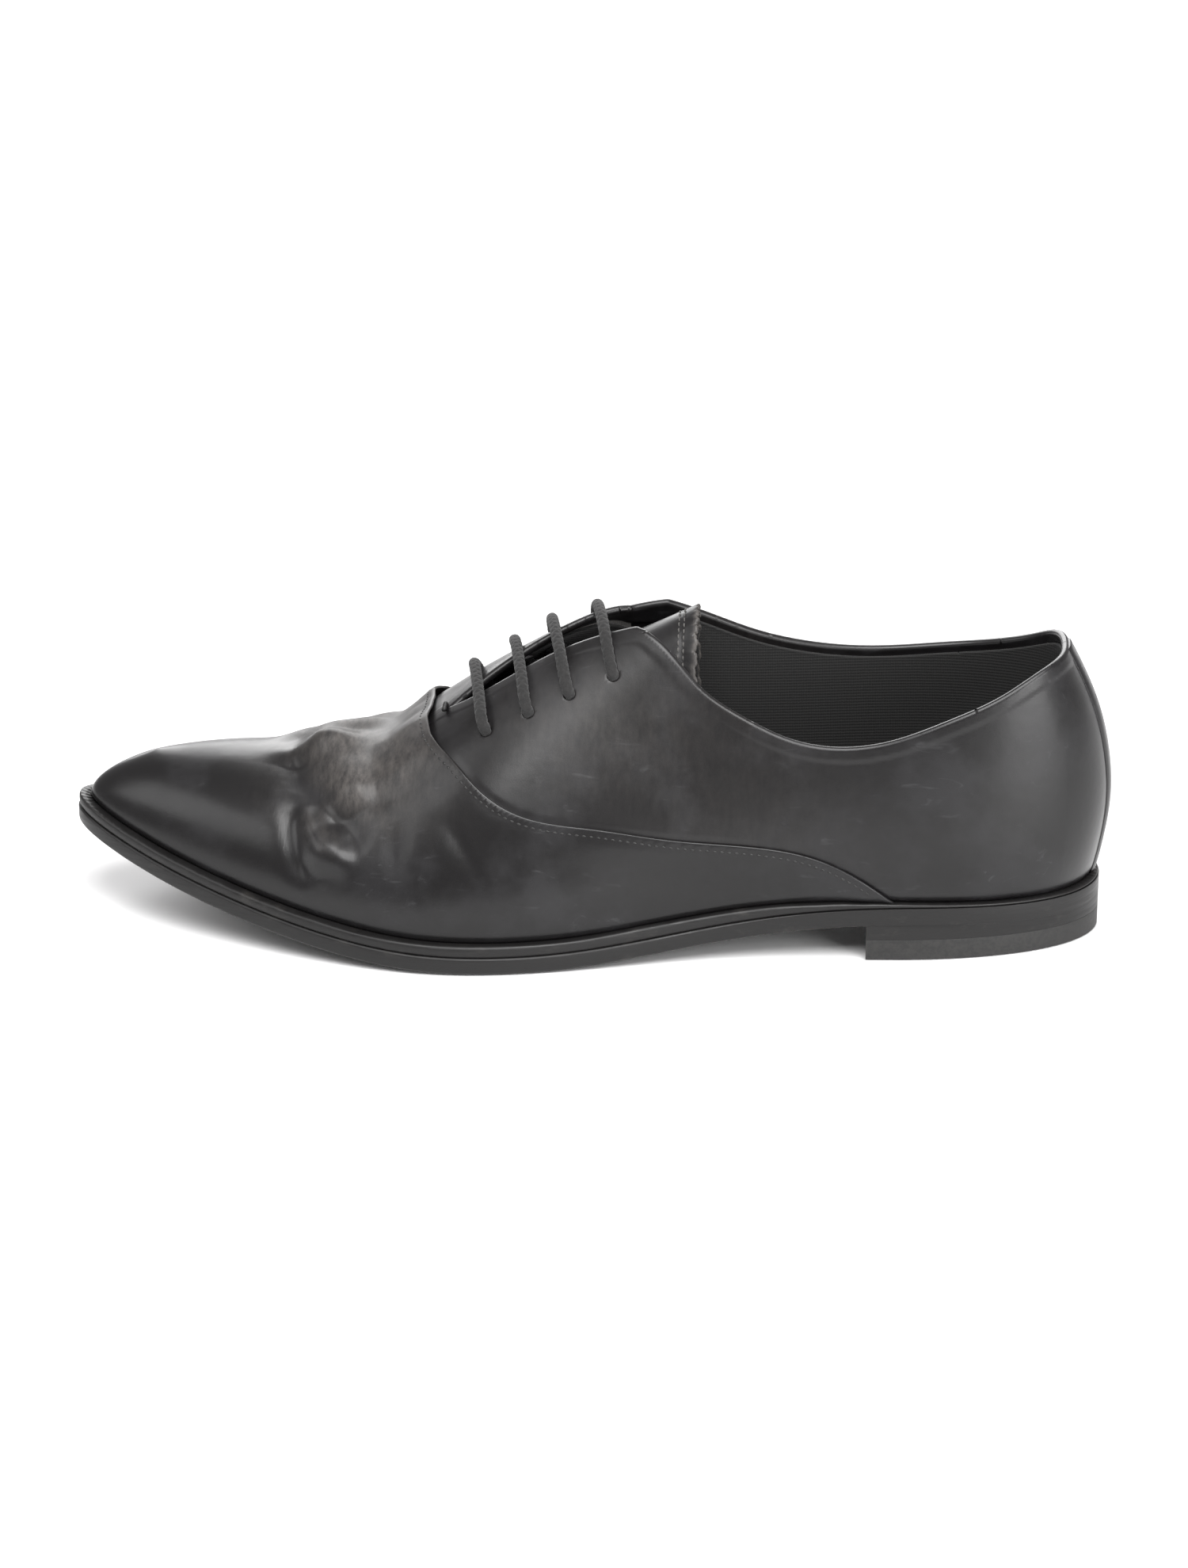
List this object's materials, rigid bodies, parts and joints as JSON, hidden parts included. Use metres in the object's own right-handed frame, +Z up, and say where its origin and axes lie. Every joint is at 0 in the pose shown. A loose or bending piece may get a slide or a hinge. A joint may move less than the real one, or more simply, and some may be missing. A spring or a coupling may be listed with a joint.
{
  "type": "leather oxford shoe",
  "caption": "Closed-laced low leather shoe with a pointed plain toe, stitched welt and low block heel; it bends at the ball and its tongue tips in.",
  "frame": {"origin": "on the ground at the middle of the heel's flat resting face", "axes": "+Z up, toe towards -X, heel towards +X, outer (lateral) side towards -Y, inner side towards +Y"},
  "size_m": [0.3025, 0.0999, 0.0953],
  "materials": {
    "upper_leather": "polished black calf leather, worn",
    "lining": "black ribbed textile lining",
    "sole_leather": "satin black waxed edge",
    "top_piece_rubber": "satin black rubber",
    "welt_leather": "satin black waxed leather",
    "cork": "bonded cork",
    "insole_leather": "plain vegetable-tanned leather",
    "sock_leather": "smooth black leather",
    "foam": "dense foam",
    "fibreboard": "bonded leather fibreboard",
    "reinforcing_cloth": "woven cotton tape",
    "steel": "plain steel",
    "cotton_cord": "round braided waxed cotton",
    "aglet_plastic": "gloss plastic"
  },
  "bodies": {
    "shoe": {"welt_back": "welt_leather", "welt_flex": "welt_leather", "shank": "steel", "cork_filler_back": "cork", "cork_filler_flex": "cork", "heel_nails": "steel", "top_piece_nails": "steel", "outsole_back": "sole_leather", "outsole_flex": "sole_leather", "heel_block": "sole_leather", "heel_top_piece": "top_piece_rubber", "vamp_back": "upper_leather", "vamp_flex": "upper_leather", "lateral_quarter": "upper_leather", "lateral_quarter_lining": "lining", "lateral_facing_stay": "reinforcing_cloth", "lateral_topline_tape": "reinforcing_cloth", "lateral_eyelets": "steel", "medial_quarter": "upper_leather", "medial_quarter_lining": "lining", "medial_facing_stay": "reinforcing_cloth", "medial_topline_tape": "reinforcing_cloth", "medial_eyelets": "steel", "heel_grip_lining": "lining", "vamp_lining_back": "lining", "vamp_lining_flex": "lining", "heel_counter": "fibreboard", "backstay": "upper_leather", "heel_pad": "foam", "insole_back": "insole_leather", "insole_flex": "insole_leather", "sock_liner_back": "sock_leather", "sock_liner_flex": "sock_leather", "lace": "cotton_cord", "lace_aglets": "aglet_plastic", "throat_bar_tack": "cotton_cord"},
    "forepart": {"welt_toe": "welt_leather", "cork_filler_toe": "cork", "outsole_toe": "sole_leather", "vamp_toe": "upper_leather", "vamp_lining_toe": "lining", "insole_toe": "insole_leather", "sock_liner_toe": "sock_leather", "toe_puff": "fibreboard"},
    "tongue_flap": {"tongue": "upper_leather", "tongue_lining": "lining"}
  },
  "joints": [
    {"name": "toe_flex", "type": "hinge", "parent": "shoe", "child": "forepart", "pos_m": [-0.167, 0, 0.00144], "axis": [0, 1, 0], "range_deg": [0, 22], "stiffness_Nm_per_rad": 4, "deforming": ["welt_flex", "cork_filler_flex", "outsole_flex", "vamp_flex", "vamp_lining_flex", "insole_flex", "sock_liner_flex"]},
    {"name": "tongue_tip", "type": "hinge", "parent": "shoe", "child": "tongue_flap", "pos_m": [-0.1585, 0, 0.0585], "axis": [0, 1, 0], "range_deg": [0, 10]}
  ]
}
